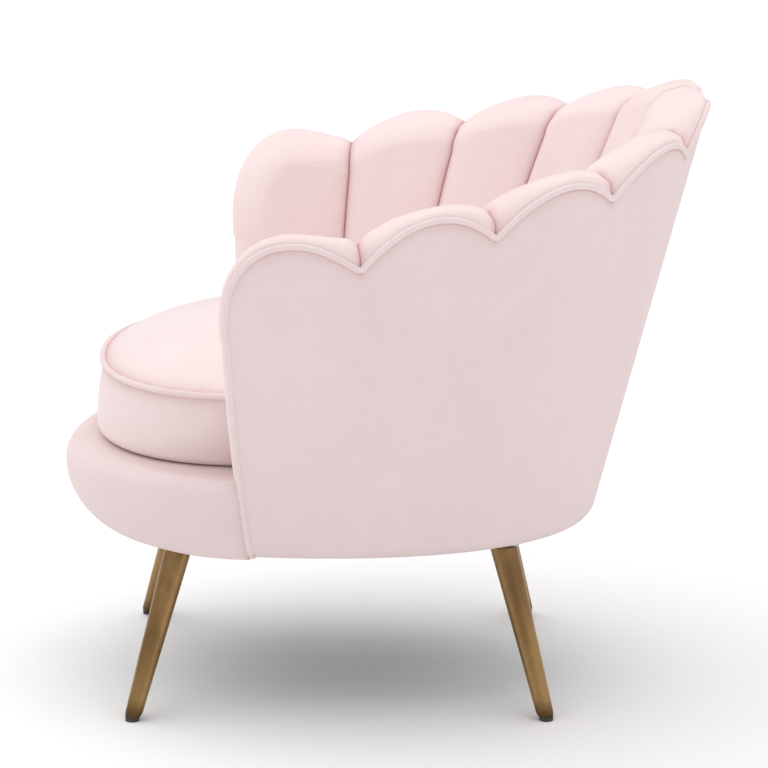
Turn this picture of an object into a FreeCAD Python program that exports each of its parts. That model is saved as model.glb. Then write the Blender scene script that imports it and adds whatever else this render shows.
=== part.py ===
import FreeCAD, Part
import math
import os

# Petal-back tub chair. Millimetres, +Z up, the sitter faces -Y, the sitter's left is +X.
# Origin on the floor, midway between the sides and between front and back.

doc = FreeCAD.newDocument("petal_tub_chair")

# ---------------------------------------------------------------- driving dimensions
SIZES = {
    # rim of the shell, seen from above
    "rim_half_width": 405,
    "rim_rear_y": 411,
    "rim_widest_y": -87,
    "rim_squareness": 2.17,
    "rim_front_depth": 466,
    "wing_front_y": -202,
    # foot of the shell
    "base_half_width": 266,
    "base_rear_y": 271,
    "base_widest_y": -70,
    "base_front_depth": 412,
    "shell_bottom_z": 218,
    # scalloped rim
    "petals_per_side": 5,
    "valley_front_z": 613,
    "valley_rear_z": 748,
    "scallop_rise_rear": 33,
    "scallop_rise_front": 44.5,
    "wing_corner_z": 565,
    "wing_scallop_rise": 57,
    # layers of the wall, counted inwards from its outer face
    "cover_thickness": 3.5,
    "rib_thickness": 18,
    "rib_width": 36,
    "wall_low_front": 52,
    "wall_low_rear": 130,
    "wall_high": 62,
    "fan_shift": 50,
    "petal_bulge": 16,
    "roll_height": 45,
    "roll_crown": 9,
    "facing_thickness": 12,
    "piping_size": 6,
    "layer_gap": 0.4,
    "roll_gap": 1.5,
    # base boards and seat rails
    "board_bottom_z": 220,
    "board_thickness": 18,
    "board_inset": 12,
    "board_corner_inset": 6,
    "front_board_inset": 36,
    "well_half_width": 150,
    "well_front_y": -215,
    "well_rear_y": 95,
    "rail_height": 58,
    "rail_thickness": 25,
    "frame_half_width": 187,
    "frame_front_y": -270,
    "frame_rear_y": 150,
    "block_leg": 60,
    "strap_width": 50,
    "strap_thickness": 2,
    "straps_across": 4,
    "straps_along": 3,
    "dust_cover_thickness": 1.5,
    "dust_cover_inset": 14,
    # seat
    "seat_z": 335,
    "border_centre_y": -170,
    "border_half_width": 262,
    "border_depth": 246,
    "border_back_y": -190,
    "cushion_front_y": -375,
    "cushion_side_height": 92,
    "cushion_crown": 92,
    "crown_reach": 170,
    "cushion_edge": 12,
    "cushion_gap": 1,
    "cushion_clearance": 3,
    "welt_size": 6,
    # legs
    "foot_x": 237,
    "foot_front_y": -322,
    "foot_rear_y": 204,
    "leg_top_x": 160,
    "leg_top_front_y": -262,
    "leg_top_rear_y": 149,
    "foot_diameter": 22,
    "leg_top_diameter": 36,
    "glide_diameter": 18,
    "glide_height": 5,
    "stud_diameter": 8,
    "stud_depth": 22,
    "plate_thickness": 3,
    "screw_clearance": 1.5,
    "plate_margin": 6,
    "screw_diameter": 4,
    "screw_length": 16,
    "screw_head_diameter": 8,
    "screw_head_height": 2.5,
    "screws_per_plate": 4,
}

sheet = doc.addObject("Spreadsheet::Sheet", "Sizes")
for row, (alias, value) in enumerate(SIZES.items(), start=1):
    sheet.set(f"A{row}", alias)
    sheet.set(f"B{row}", str(value))
    sheet.setAlias(f"B{row}", alias)
doc.recompute()


def size(alias):
    """The value of one cell of the sheet."""
    return float(sheet.get(alias))


def bind(target, **expressions):
    """Bind properties of an object to the sheet; x, y and z mean its position."""
    for key, expression in expressions.items():
        name = f"Placement.Base.{key}" if key in "xyz" else key
        target.setExpression(name, expression)
    return target


nodes = []


def node(target, label):
    """Keep an object as a sub-part under its own name."""
    target.Label = label
    nodes.append(target)
    return target


SIDES = (("left", 1), ("right", -1))

# ---------------------------------------------------------------- shape of the wall
# A place on the wall is (station, height, depth). The station counts petals along the rim
# from the rear centre: 0 is the rear valley, +5 the front of the left wing, -5 of the right.

COUNT = int(size("petals_per_side"))
BOTTOM = size("shell_bottom_z")
GAP = size("layer_gap")


def oval(angle, half_width, widest_y, rear_y, front_depth):
    """A point of the plan at an angle from the rear centre, squarer behind the widest line."""
    sine, cosine = math.sin(angle), math.cos(angle)
    if cosine < 0:
        return half_width * sine, widest_y + front_depth * cosine
    power = 2 / size("rim_squareness")
    across = math.copysign(abs(sine) ** power, sine)
    return half_width * across, widest_y + (rear_y - widest_y) * cosine ** power


def rim_plan(angle):
    return oval(angle, size("rim_half_width"), size("rim_widest_y"), size("rim_rear_y"),
                size("rim_front_depth"))


def base_plan(angle):
    return oval(angle, size("base_half_width"), size("base_widest_y"), size("base_rear_y"),
                size("base_front_depth"))


def rim_angles(steps=400):
    """Angles at evenly spaced lengths along half of the rim, from the rear to the wing."""
    reach = (size("wing_front_y") - size("rim_widest_y")) / size("rim_front_depth")
    last = math.acos(reach)
    angles = [last * i / steps for i in range(steps + 1)]
    lengths = [0.0]
    for before, after in zip(angles, angles[1:]):
        lengths.append(lengths[-1] + math.dist(rim_plan(before), rim_plan(after)))
    even = []
    for i in range(steps + 1):
        goal = lengths[-1] * i / steps
        k = max(j for j, length in enumerate(lengths) if length <= goal + 1e-9)
        k = min(k, steps - 1)
        part = (goal - lengths[k]) / (lengths[k + 1] - lengths[k])
        even.append(angles[k] + part * (angles[k + 1] - angles[k]))
    return even, lengths[-1]


RIM_ANGLES, HALF_RIM = rim_angles()
PETAL_LENGTH = HALF_RIM / COUNT


def angle_at(station):
    place = min(abs(station) / COUNT, 1.0) * (len(RIM_ANGLES) - 1)
    k = min(int(place), len(RIM_ANGLES) - 2)
    angle = RIM_ANGLES[k] + (place - k) * (RIM_ANGLES[k + 1] - RIM_ANGLES[k])
    return math.copysign(angle, station)


def valley_z(station):
    """Height of the smooth line through the valleys of the rim."""
    fall = (size("valley_rear_z") - size("valley_front_z")) / (COUNT - 1)
    return size("valley_rear_z") - fall * abs(station)


def swell(station):
    """0 in the valleys and 1 half-way along a petal."""
    part = abs(station) % 1
    return 4 * part * (1 - part)


def scallop_rise(station):
    """Height of a petal's top over its valleys; it grows by even steps towards the front."""
    share = min(int(abs(station)), COUNT - 2) / (COUNT - 2)
    rear = size("scallop_rise_rear")
    return rear + share * (size("scallop_rise_front") - rear)


def rim_z(station):
    """Height of the scalloped rim."""
    place = abs(station)
    last_valley = COUNT - 1
    if place <= last_valley:
        return valley_z(station) + scallop_rise(station) * swell(station)
    start = size("valley_front_z")
    slope = (size("wing_corner_z") - start) * (place - last_valley)
    part = min(place - last_valley, 1.0)
    return start + slope + size("wing_scallop_rise") * 4 * part * (1 - part)


def wall(station, height, depth):
    """A point of the wall; its outer face is straight from the foot through the rim's mean line."""
    angle = angle_at(station)
    low, high = base_plan(angle), rim_plan(angle)
    mean_z = valley_z(station) + size("scallop_rise_rear") / 2
    rise = (height - BOTTOM) / (mean_z - BOTTOM)
    step = math.radians(0.2)
    ahead, behind = rim_plan(angle + step), rim_plan(angle - step)
    along = (ahead[0] - behind[0], ahead[1] - behind[1])
    length = math.hypot(*along)
    inwards = (along[1] / length, -along[0] / length)
    x = low[0] + rise * (high[0] - low[0]) + depth * inwards[0]
    y = low[1] + rise * (high[1] - low[1]) + depth * inwards[1]
    return FreeCAD.Vector(x, y, height)


def seam_depth(height, station):
    """Depth of the seams between petals; the padding thickens downwards, most at the rear."""
    front = size("wall_low_front")
    share = min(abs(station) / COUNT, 1.0)
    low = front + (size("wall_low_rear") - front) * (1 - share ** 2.2)
    rise = (height - BOTTOM) / (size("valley_rear_z") - BOTTOM)
    return low + rise * (size("wall_high") - low)


def full_depth(height, station):
    """Depth of the fullest line of a petal."""
    return seam_depth(height, station) + size("petal_bulge")


def curve(points):
    """One smooth edge through a list of points."""
    spline = Part.BSplineCurve()
    spline.interpolate(points)
    return spline.toShape()


def block(start, end, low_outer, high_outer, low_inner, high_inner, count=7):
    """A solid between two stations, from the four functions that give its long edges."""
    stations = [start + (end - start) * i / (count - 1) for i in range(count)]
    rows = [[place(s) for s in stations] for place in (low_outer, high_outer, high_inner, low_inner)]
    edges = [curve(points) for points in rows]
    faces = [Part.makeRuledSurface(edges[i], edges[(i + 1) % 4]) for i in range(4)]
    for end_index in (0, -1):
        corners = [points[end_index] for points in rows]
        sides = (Part.makeLine(corners[0], corners[1]), Part.makeLine(corners[3], corners[2]))
        faces.append(Part.makeRuledSurface(*sides))
    shell = Part.makeShell(faces)
    shell.sewShape()
    solid = Part.makeSolid(shell)
    if solid.Volume < 0:
        solid.reverse()
    return solid


def feature(label, shape):
    target = doc.addObject("Part::Feature", label)
    target.Shape = shape
    target.Placement = FreeCAD.Placement()
    return node(target, label)


# ---------------------------------------------------------------- wall: ribs, boards, pads, roll
# Layers from the outside: cover, ribs with boards between them, petal pads. The rim roll lies
# on top of ribs, boards and pads, inside the cover. The facing closes the front of each wing.

RIB_OUTER = size("cover_thickness") + GAP
RIB_INNER = RIB_OUTER + size("rib_thickness")
PAD_OUTER = RIB_INNER + GAP
BOARD_TOP = size("board_bottom_z") + size("board_thickness")
RAIL_TOP = BOARD_TOP + size("rail_height")
DECK_BOTTOM = RAIL_TOP + 2 * size("strap_thickness")
HALF_RIB = size("rib_width") / 2 / PETAL_LENGTH
FACING = size("facing_thickness") / PETAL_LENGTH
HAIR = GAP / PETAL_LENGTH
WALL_END = COUNT - FACING - HAIR


def frame_top(station):
    return rim_z(station) - size("roll_height")


def fanned(station):
    """Where the seam that leaves the rim at a station meets the seat: nearer to the front."""
    share = min(abs(station) / WALL_END, 1.0)
    shift = size("fan_shift") * math.sin(math.pi * share ** 0.8) / PETAL_LENGTH
    return math.copysign(abs(station) + shift, station)


def slab(start, end, bottom_z, top_z, outer, inner):
    """A layer of the wall between two depths."""
    return block(
        start, end,
        lambda s: wall(s, bottom_z, outer),
        lambda s: wall(s, top_z(s), outer),
        lambda s: wall(s, bottom_z, inner),
        lambda s: wall(s, top_z(s), inner),
    )


def rib(start, end):
    return slab(start, end, BOARD_TOP, frame_top, RIB_OUTER, RIB_INNER)


def petal_depth(height, station, top_station):
    """Depth of a petal's face, which swells between the seams that start at the rim."""
    return seam_depth(height, station) + size("petal_bulge") * swell(top_station)


def petal_pad(start, end):
    """Foam and fabric of one petal, full in the middle and thin at its seams."""
    return block(
        start, end,
        lambda s: wall(fanned(s), DECK_BOTTOM, PAD_OUTER),
        lambda s: wall(s, frame_top(s), PAD_OUTER),
        lambda s: wall(fanned(s), DECK_BOTTOM, petal_depth(DECK_BOTTOM, fanned(s), s)),
        lambda s: wall(s, frame_top(s), petal_depth(frame_top(s), s, s)),
    )


def roll_length(start, end):
    """One arch of the rim roll, higher at its middle than over the inner edge."""
    return block(
        start, end,
        lambda s: wall(s, frame_top(s) + size("roll_gap"), RIB_OUTER),
        lambda s: wall(s, rim_z(s) + size("roll_crown"), RIB_OUTER),
        lambda s: wall(s, frame_top(s) + size("roll_gap"), full_depth(frame_top(s), s)),
        lambda s: wall(s, rim_z(s) - size("roll_crown"), full_depth(frame_top(s), s)),
    )


feature("back_rib_rear", rib(-HALF_RIB, HALF_RIB))
for side, sign in SIDES:
    boards = []
    roll = []
    for petal in range(COUNT):
        number = COUNT - petal
        start = petal + HAIR
        end = min(petal + 1 - HAIR, WALL_END)
        rib_start = petal + 1 - HALF_RIB
        rib_end = petal + 1 + HALF_RIB
        if petal == COUNT - 1:
            rib_start, rib_end = WALL_END - 2 * HALF_RIB, WALL_END
        feature(f"back_rib_{side}_{number}", rib(sign * rib_start, sign * rib_end))
        feature(f"petal_pad_{side}_{number}", petal_pad(sign * start, sign * end))
        boards.append(slab(sign * (petal + HALF_RIB + HAIR), sign * (rib_start - HAIR), BOARD_TOP,
                           frame_top, RIB_OUTER, RIB_INNER))
        roll.append(roll_length(sign * start, sign * end))
    feature(f"back_boards_{side}", Part.makeCompound(boards))
    feature(f"rim_roll_{side}", Part.makeCompound(roll))

    facing = block(
        sign * (COUNT - FACING), sign * COUNT,
        lambda s: wall(s, BOARD_TOP, RIB_OUTER),
        lambda s: wall(s, rim_z(s) - size("piping_size"), RIB_OUTER),
        lambda s: wall(s, BOARD_TOP, full_depth(BOARD_TOP, s)),
        lambda s: wall(s, rim_z(s) - size("roll_crown"), full_depth(BOARD_TOP, s)),
    )
    feature(f"wing_facing_{side}", facing)

# The outer cover is one sheet from wing to wing; each petal gives it one arch.
arches = []
for petal in range(-COUNT, COUNT):
    arches.append(slab(petal, petal + 1, BOTTOM, rim_z, 0, size("cover_thickness")))
feature("outer_cover", arches[0].multiFuse(arches[1:]).removeSplitter())

# Piping stands on the cover's top edge, one length to each petal.
for side, sign in SIDES:
    lengths = []
    for petal in range(COUNT):
        lengths.append(block(
            sign * (petal + HAIR), sign * (petal + 1 - HAIR),
            lambda s: wall(s, rim_z(s) + GAP, 0),
            lambda s: wall(s, rim_z(s) + GAP + size("piping_size"), 0),
            lambda s: wall(s, rim_z(s) + GAP, size("cover_thickness")),
            lambda s: wall(s, rim_z(s) + GAP + size("piping_size"), size("cover_thickness")),
        ))
    feature(f"rim_piping_{side}", Part.makeCompound(lengths))

# ---------------------------------------------------------------- base boards
# Four plywood boards make the foot of the shell, with an open well under the seat.


def sketched_board(label, edges):
    """A plywood board: a pad of a closed outline on the body's own XY plane."""
    body = doc.addObject("PartDesign::Body", label)
    sketch = body.newObject("Sketcher::SketchObject", label + "_outline")
    plane = next(f for f in body.Origin.OriginFeatures if f.Role == "XY_Plane")
    sketch.AttachmentSupport = [(plane, "")]
    sketch.MapMode = "FlatFace"
    for edge in edges:
        sketch.addGeometry(edge, False)
    pad = body.newObject("PartDesign::Pad", label + "_pad")
    pad.Profile = sketch
    bind(pad, Length="Sizes.board_thickness")
    bind(body, z="Sizes.board_bottom_z")
    return node(body, label)


def line(start, end):
    return Part.LineSegment(FreeCAD.Vector(*start, 0), FreeCAD.Vector(*end, 0))


def arc(start, middle, end):
    return Part.Arc(*[FreeCAD.Vector(*p, 0) for p in (start, middle, end)])


INSET = size("board_inset")
WELL_X = size("well_half_width")
WELL_FRONT = size("well_front_y")
WELL_REAR = size("well_rear_y")


def foot_x(y):
    """Half-width of the shell's foot at a depth y, inside the cover."""
    middle = size("base_widest_y")
    behind = y > middle
    power = size("rim_squareness") if behind else 2
    reach = size("base_rear_y") - INSET - middle if behind else size("base_front_depth")
    share = abs(y - middle) / reach
    return (size("base_half_width") - INSET) * (1 - share ** power) ** (1 / power)


REAR_APEX = (0, size("base_rear_y") - INSET)
REAR_SHOULDER_Y = WELL_REAR + 0.7 * (REAR_APEX[1] - WELL_REAR)
REAR_SHOULDER = (foot_x(REAR_SHOULDER_Y), REAR_SHOULDER_Y)
REAR_CORNER = (foot_x(WELL_REAR), WELL_REAR)
SIDE_MIDDLE = (foot_x(size("base_widest_y")), size("base_widest_y"))
FRONT_CORNER = (foot_x(WELL_FRONT) - size("board_corner_inset"), WELL_FRONT)
FRONT_APEX = (0, size("border_centre_y") - size("border_depth") + size("front_board_inset"))


def mirrored(point):
    return -point[0], point[1]


sketched_board("base_board_rear", [
    arc(REAR_CORNER, REAR_SHOULDER, REAR_APEX),
    arc(REAR_APEX, mirrored(REAR_SHOULDER), mirrored(REAR_CORNER)),
    line(mirrored(REAR_CORNER), REAR_CORNER),
])
sketched_board("base_board_front", [
    arc(mirrored(FRONT_CORNER), FRONT_APEX, FRONT_CORNER),
    line(FRONT_CORNER, mirrored(FRONT_CORNER)),
])
for side, sign in SIDES:
    front = (sign * FRONT_CORNER[0], WELL_FRONT + GAP)
    rear = (sign * REAR_CORNER[0], WELL_REAR - GAP)
    sketched_board(f"base_board_{side}", [
        arc(front, (sign * SIDE_MIDDLE[0], SIDE_MIDDLE[1]), rear),
        line(rear, (sign * WELL_X, WELL_REAR - GAP)),
        line((sign * WELL_X, WELL_REAR - GAP), (sign * WELL_X, WELL_FRONT + GAP)),
        line((sign * WELL_X, WELL_FRONT + GAP), front),
    ])

# ---------------------------------------------------------------- seat rails, blocks and straps
RAIL_Z = "Sizes.board_bottom_z + Sizes.board_thickness"
for label, front_edge in (("seat_rail_front", "Sizes.frame_front_y"),
                          ("seat_rail_rear", "Sizes.frame_rear_y - Sizes.rail_thickness")):
    rail = doc.addObject("Part::Box", label)
    bind(rail, Length="2 * Sizes.frame_half_width", Width="Sizes.rail_thickness",
         Height="Sizes.rail_height", x="-Sizes.frame_half_width", y=front_edge, z=RAIL_Z)
    node(rail, label)

for side, sign in SIDES:
    rail = doc.addObject("Part::Box", f"seat_rail_{side}")
    near_edge = "Sizes.frame_half_width - Sizes.rail_thickness"
    bind(rail, Length="Sizes.rail_thickness", Height="Sizes.rail_height",
         Width="Sizes.frame_rear_y - Sizes.frame_front_y - 2 * Sizes.rail_thickness",
         x=near_edge if sign > 0 else "-Sizes.frame_half_width",
         y="Sizes.frame_front_y + Sizes.rail_thickness", z=RAIL_Z)
    node(rail, f"seat_rail_{side}")


def corner_block(label, sign, end):
    """A glue block with a right angle, in one inner corner of the rails."""
    body = doc.addObject("PartDesign::Body", label)
    sketch = body.newObject("Sketcher::SketchObject", label + "_outline")
    plane = next(f for f in body.Origin.OriginFeatures if f.Role == "XY_Plane")
    sketch.AttachmentSupport = [(plane, "")]
    sketch.MapMode = "FlatFace"
    leg = size("block_leg")
    corners = [(0, 0), (-sign * leg, 0), (0, -end * leg)]
    for i in range(3):
        sketch.addGeometry(line(corners[i], corners[(i + 1) % 3]), False)
    pad = body.newObject("PartDesign::Pad", label + "_pad")
    pad.Profile = sketch
    bind(pad, Length="Sizes.rail_height")
    inner_x = "(Sizes.frame_half_width - Sizes.rail_thickness)"
    inner_y = ("Sizes.frame_rear_y - Sizes.rail_thickness" if end > 0
               else "Sizes.frame_front_y + Sizes.rail_thickness")
    bind(body, x=f"{sign} * {inner_x}", y=inner_y, z=RAIL_Z)
    return body


blocks = doc.addObject("Part::Compound", "corner_blocks")
blocks.Links = [corner_block(f"block_{side}_{place}", sign, end)
                for side, sign in SIDES for place, end in (("rear", 1), ("front", -1))]
node(blocks, "corner_blocks")

STRAP_Z = RAIL_Z + " + Sizes.rail_height"
FRAME_LENGTH = "(Sizes.frame_rear_y - Sizes.frame_front_y)"


def strap_group(label, count, across):
    """Elastic straps at even pitch; those across lie under those along."""
    straps = []
    for i in range(int(size(count))):
        strap = doc.addObject("Part::Box", f"{label}_{i + 1}")
        share = f"{i + 1} / (Sizes.{count} + 1)"
        bind(strap, Height="Sizes.strap_thickness")
        if across:
            bind(strap, Length="2 * Sizes.frame_half_width", Width="Sizes.strap_width",
                 x="-Sizes.frame_half_width", z=STRAP_Z,
                 y=f"Sizes.frame_front_y + {FRAME_LENGTH} * {share} - Sizes.strap_width / 2")
        else:
            bind(strap, Length="Sizes.strap_width", Width=FRAME_LENGTH, y="Sizes.frame_front_y",
                 z=STRAP_Z + " + Sizes.strap_thickness",
                 x=f"Sizes.frame_half_width * (2 * {share} - 1) - Sizes.strap_width / 2")
        straps.append(strap)
    group = doc.addObject("Part::Compound", label)
    group.Links = straps
    return node(group, label)


strap_group("seat_straps_across", "straps_across", True)
strap_group("seat_straps_along", "straps_along", False)

# ---------------------------------------------------------------- seat deck, border, cushion
SEAT = size("seat_z")
POINT_GAP = 8  # least distance between the last point of one curve and the next curve


def inner_outline(height, inset, front_y, front_reach):
    """Closed outline: the inside of the wall behind front_y, a half oval in front of it."""
    points = []
    steps = 28
    for i in range(steps + 1):
        station = COUNT - 2 * COUNT * i / steps
        point = wall(station, height, full_depth(height, station) + inset)
        if point.y > front_y + POINT_GAP:
            points.append(point)
    side_x = points[0].x
    front_steps = 12
    for i in range(front_steps + 1):
        angle = math.pi * i / front_steps
        x = -side_x * math.cos(angle)
        y = front_y - front_reach * math.sin(angle)
        points.append(FreeCAD.Vector(x, y, height))
    return points


def closed_wire(points):
    spline = Part.BSplineCurve()
    spline.interpolate(points, PeriodicFlag=True)
    return Part.Wire([spline.toShape()])


# Deck: a foam board on the straps, ending where the border begins.
deck_steps = 24
deck_points = []
for i in range(deck_steps + 1):
    station = COUNT - 2 * COUNT * i / deck_steps
    deck_points.append(wall(station, DECK_BOTTOM, full_depth(DECK_BOTTOM, station) + GAP))
deck_back_y = size("border_back_y") + GAP
deck_points = [p for p in deck_points if p.y > deck_back_y + POINT_GAP]
deck_curve = curve(deck_points)
first = deck_points[0]
last = deck_points[-1]
front_left = FreeCAD.Vector(first.x, deck_back_y, DECK_BOTTOM)
front_right = FreeCAD.Vector(last.x, deck_back_y, DECK_BOTTOM)
deck_wire = Part.Wire([deck_curve, Part.makeLine(last, front_right),
                       Part.makeLine(front_right, front_left), Part.makeLine(front_left, first)])
deck = Part.Face(deck_wire).extrude(FreeCAD.Vector(0, 0, SEAT - DECK_BOTTOM))
feature("seat_deck", deck)

# Border: the fat roll in front of the seat, over the front board and rail.
BORDER_LEVELS = (
    (BOARD_TOP + GAP, 0.94),
    (BOARD_TOP + 0.40 * (SEAT - BOARD_TOP), 1.00),
    (BOARD_TOP + 0.78 * (SEAT - BOARD_TOP), 0.97),
    (SEAT, 0.89),
)
border_sections = []
for height, share in BORDER_LEVELS:
    half = share * size("border_half_width")
    reach = share * size("border_depth")
    centre_y = size("border_centre_y")
    back_y = size("border_back_y")
    edge = math.asin((centre_y - back_y) / reach)
    centre = FreeCAD.Vector(0, centre_y, height)
    ellipse = Part.Ellipse(centre + FreeCAD.Vector(half, 0, 0),
                           centre - FreeCAD.Vector(0, reach, 0), centre)
    front_arc = Part.ArcOfEllipse(ellipse, edge, math.pi - edge).toShape()
    ends = [front_arc.Vertexes[0].Point, front_arc.Vertexes[-1].Point]
    border_sections.append(Part.Wire([front_arc, Part.makeLine(ends[1], ends[0])]))
border = Part.makeLoft(border_sections, True, True)
rail_room = Part.makeBox(2 * (size("frame_half_width") + GAP), 400, DECK_BOTTOM - BOARD_TOP + GAP)
rail_room.translate(FreeCAD.Vector(-size("frame_half_width") - GAP,
                                   size("frame_front_y") - GAP, BOARD_TOP))
feature("front_border", border.cut(rail_room))

# Cushion: loose, boxed to the welt, crowned above it.
CUSHION_BOTTOM = SEAT + size("cushion_gap")
WELT_Z = CUSHION_BOTTOM + size("cushion_side_height")
WELT = size("welt_size")
side_inset = size("cushion_clearance") + WELT + 1
front_y = size("border_centre_y")
front_reach = front_y - size("cushion_front_y")
edge = size("cushion_edge")
CUSHION_LEVELS = [
    (CUSHION_BOTTOM, side_inset + edge),
    (CUSHION_BOTTOM + edge, side_inset),
    (WELT_Z, side_inset),
]
CROWN_ROUNDNESS = 0.65
for share in (0.12, 0.4, 0.7, 1.0):
    height = WELT_Z + size("cushion_crown") * share ** CROWN_ROUNDNESS
    CUSHION_LEVELS.append((height, side_inset + share * size("crown_reach")))
cushion_wires = []
for height, inset in CUSHION_LEVELS:
    level = min(height, WELT_Z)
    points = inner_outline(level, side_inset, front_y, front_reach - (side_inset - WELT))
    middle = sum((p.y for p in points)) / len(points)
    widest = max(p.x for p in points)
    share = 1 - (inset - side_inset) / widest
    points = [FreeCAD.Vector(p.x * share, middle + (p.y - middle) * share, height) for p in points]
    cushion_wires.append(closed_wire(points))
feature("seat_cushion", Part.makeLoft(cushion_wires, True, True))

welt_low = WELT_Z - WELT / 2
welt_up = FreeCAD.Vector(0, 0, WELT)
welt_outline = closed_wire(inner_outline(welt_low, side_inset - WELT, front_y, front_reach))
welt_hole = closed_wire(inner_outline(welt_low, side_inset - GAP, front_y,
                                      front_reach - WELT + GAP))
welt = Part.Face(welt_outline).extrude(welt_up).cut(Part.Face(welt_hole).extrude(welt_up))
feature("cushion_welt", welt)

# ---------------------------------------------------------------- legs and their fixings
PLATE_BOTTOM = "(Sizes.board_bottom_z - Sizes.dust_cover_thickness - Sizes.plate_thickness)"
STUD_LENGTH = f"Sizes.stud_depth + Sizes.board_bottom_z + Sizes.board_thickness - {PLATE_BOTTOM}"
SCREW_CIRCLE = "(Sizes.leg_top_diameter + Sizes.screw_head_diameter + 2 * Sizes.screw_clearance)"
PLATE_DIAMETER = f"({SCREW_CIRCLE} + 2 * Sizes.plate_margin)"
LEGS = []
for side, sign in SIDES:
    for place in ("front", "rear"):
        LEGS.append((f"{place}_{side}", sign, place))


def cylinder(label, diameter, height, x, y, z):
    target = doc.addObject("Part::Cylinder", label)
    return bind(target, Radius=f"{diameter} / 2", Height=height, x=x, y=y, z=z)


def cut(label, base, tool):
    target = doc.addObject("Part::Cut", label)
    target.Base = base
    target.Tool = tool
    return target


def compound(label, links):
    target = doc.addObject("Part::Compound", label)
    target.Links = links
    return target


glides, studs, plates, screws, bores = [], [], [], [], []
for name, sign, place in LEGS:
    top_x = f"{sign} * Sizes.leg_top_x"
    top_y = f"Sizes.leg_top_{place}_y"
    low_x = f"{sign} * Sizes.foot_x"
    low_y = f"Sizes.foot_{place}_y"

    foot_ring = doc.addObject("Part::Circle", f"foot_ring_{name}")
    bind(foot_ring, Radius="Sizes.foot_diameter / 2", x=low_x, y=low_y, z="Sizes.glide_height")
    top_ring = doc.addObject("Part::Circle", f"top_ring_{name}")
    bind(top_ring, Radius="Sizes.leg_top_diameter / 2", x=top_x, y=top_y, z=PLATE_BOTTOM)
    taper = doc.addObject("Part::Loft", f"taper_{name}")
    taper.Sections = [foot_ring, top_ring]
    taper.Solid = True
    taper.Ruled = True

    stud = cylinder(f"stud_{name}", "Sizes.stud_diameter", STUD_LENGTH,
                    top_x, top_y, f"{PLATE_BOTTOM} - Sizes.stud_depth")
    node(cut(f"leg_{name}_part", taper, stud), f"leg_{name}")
    studs.append(stud)
    glides.append(cylinder(f"glide_{name}", "Sizes.glide_diameter", "Sizes.glide_height",
                           low_x, low_y, "0"))

    shanks = []
    for i in range(int(size("screws_per_plate"))):
        turn = f"({45 + 360 / size('screws_per_plate') * i} deg)"
        screw_x = f"{top_x} + {SCREW_CIRCLE} / 2 * cos{turn}"
        screw_y = f"{top_y} + {SCREW_CIRCLE} / 2 * sin{turn}"
        shank = cylinder(f"shank_{name}_{i + 1}", "Sizes.screw_diameter", "Sizes.screw_length",
                         screw_x, screw_y, PLATE_BOTTOM)
        head = cylinder(f"head_{name}_{i + 1}", "Sizes.screw_head_diameter",
                        "Sizes.screw_head_height", screw_x, screw_y,
                        f"{PLATE_BOTTOM} - Sizes.screw_head_height")
        screw = doc.addObject("Part::Fuse", f"screw_{name}_{i + 1}")
        screw.Base = head
        screw.Tool = shank
        screws.append(screw)
        shanks.append(shank)

    disc = cylinder(f"disc_{name}", PLATE_DIAMETER, "Sizes.plate_thickness",
                    top_x, top_y, PLATE_BOTTOM)
    holes = compound(f"holes_{name}", shanks + [stud])
    bores.append(holes)
    plates.append(cut(f"plate_{name}", disc, holes))

node(compound("foot_glides", glides), "foot_glides")
node(compound("leg_studs", studs), "leg_studs")
node(compound("leg_plates", plates), "leg_plates")
node(compound("plate_screws", screws), "plate_screws")

# The boards that carry the legs are bored for the studs and the screws.
for place in ("front", "rear"):
    board = next(n for n in nodes if n.Label == f"base_board_{place}")
    nodes.remove(board)
    board.Label = f"base_blank_{place}"
    tools = compound(f"bores_{place}", [b for b in bores if f"_{place}_" in b.Name])
    node(cut(f"base_board_{place}_bored", board, tools), f"base_board_{place}")

# Dust cover: a sheet stapled under the boards, held down by the leg plates and bored with them.


def drawn_in(point):
    """A point of the boards' outline moved towards the middle of the seat."""
    share = 1 - size("dust_cover_inset") / math.hypot(*point)
    return point[0] * share, point[1] * share


outline = [FRONT_APEX, FRONT_CORNER, SIDE_MIDDLE, REAR_CORNER, REAR_SHOULDER, REAR_APEX]
half = [drawn_in(point) for point in outline]
loop = half + [mirrored(point) for point in half[-2:0:-1]]
sheet_z = size("board_bottom_z") - size("dust_cover_thickness")
sheet_wire = closed_wire([FreeCAD.Vector(*point, sheet_z) for point in loop])
blank = doc.addObject("Part::Feature", "dust_cover_blank")
blank.Shape = Part.Face(sheet_wire).extrude(FreeCAD.Vector(0, 0, size("dust_cover_thickness")))
node(cut("dust_cover_bored", blank, compound("dust_cover_bores", bores)), "dust_cover")

# ---------------------------------------------------------------- check and write
doc.recompute()
for target in doc.Objects:
    if "Invalid" in target.State or "Error" in target.State:
        raise RuntimeError(f"{target.Label} did not build: {target.State}")
os.makedirs("parts", exist_ok=True)
for target in nodes:
    shape = target.Shape
    if shape.isNull() or not shape.isValid() or not shape.Solids:
        raise RuntimeError(f"{target.Label} has no valid solid")
    if min(solid.Volume for solid in shape.Solids) <= 0:
        raise RuntimeError(f"{target.Label} has a solid inside out")
    shape.exportStep(f"parts/{target.Label}.step")
    print(f"{target.Label:24s} {len(shape.Solids):3d} solids {shape.Volume / 1000:9.1f} cm3")
print(len(nodes), "nodes")
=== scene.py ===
import math

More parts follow.
